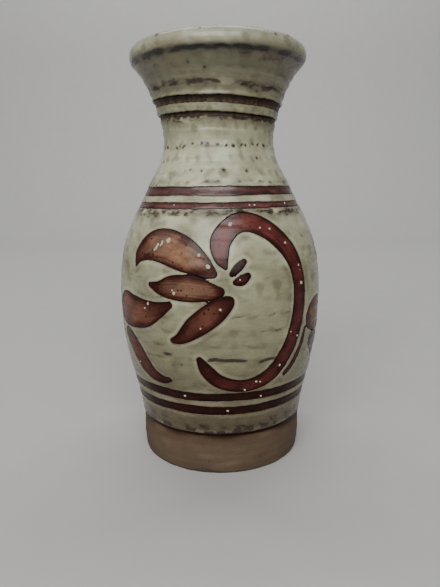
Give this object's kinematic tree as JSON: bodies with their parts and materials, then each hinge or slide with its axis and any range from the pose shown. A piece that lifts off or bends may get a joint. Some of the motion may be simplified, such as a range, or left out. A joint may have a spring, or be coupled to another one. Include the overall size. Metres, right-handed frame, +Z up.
{
  "type": "stoneware vase",
  "caption": "Wheel-thrown stoneware vase: swelling belly, narrow neck, flared rolled lip, bare clay foot, iron brush strokes and bands under pale glaze.",
  "frame": {"origin": "centre of the foot, on the surface that the vase stands on", "axes": "+Z up along the axis of turning, -Y towards the middle of the front painted motif, +X to the viewer's right"},
  "size_m": [0.156, 0.1559, 0.305],
  "materials": {
    "clay": "bare fired stoneware, matt, fine grained",
    "pale_glaze": "pale olive-cream glaze, semi-gloss, with iron breaking through along the throwing rings",
    "liner_glaze": "pale liner glaze, semi-gloss",
    "iron_band": "dark iron glaze, near black with a red-brown heart, glossy",
    "iron_dark": "dark red-brown iron glaze with a near-black edge, glossy",
    "iron_rust": "rust-orange iron glaze shading to dark red-brown at the edge, glossy"
  },
  "bodies": {
    "root": {"clay_body": "clay", "liner_glaze": "liner_glaze", "glaze_above_foot": "pale_glaze", "glaze_lower_stripe": "pale_glaze", "glaze_belly": "pale_glaze", "glaze_shoulder_stripe": "pale_glaze", "glaze_neck": "pale_glaze", "glaze_neck_stripe": "pale_glaze", "glaze_rim": "pale_glaze", "glaze_line": "iron_band", "lower_band_bottom": "iron_band", "lower_band_top": "iron_band", "shoulder_band_bottom": "iron_band", "shoulder_band_top": "iron_band", "neck_line_bottom": "iron_band", "neck_line_top": "iron_band", "crescent_1": "iron_dark", "petal_upper_1": "iron_rust", "petal_middle_1": "iron_rust", "petal_lower_1": "iron_rust", "leaf_1": "iron_rust", "stem_1": "iron_dark", "tendril_1": "iron_dark", "stamen_upper_1": "iron_dark", "stamen_lower_1": "iron_dark", "crescent_2": "iron_dark", "petal_upper_2": "iron_rust", "petal_middle_2": "iron_rust", "petal_lower_2": "iron_rust", "leaf_2": "iron_rust", "stem_2": "iron_dark", "tendril_2": "iron_dark", "stamen_upper_2": "iron_dark", "stamen_lower_2": "iron_dark", "crescent_3": "iron_dark", "petal_upper_3": "iron_rust", "petal_middle_3": "iron_rust", "petal_lower_3": "iron_rust", "leaf_3": "iron_rust", "stem_3": "iron_dark", "tendril_3": "iron_dark", "stamen_upper_3": "iron_dark", "stamen_lower_3": "iron_dark"}
  },
  "joints": []
}
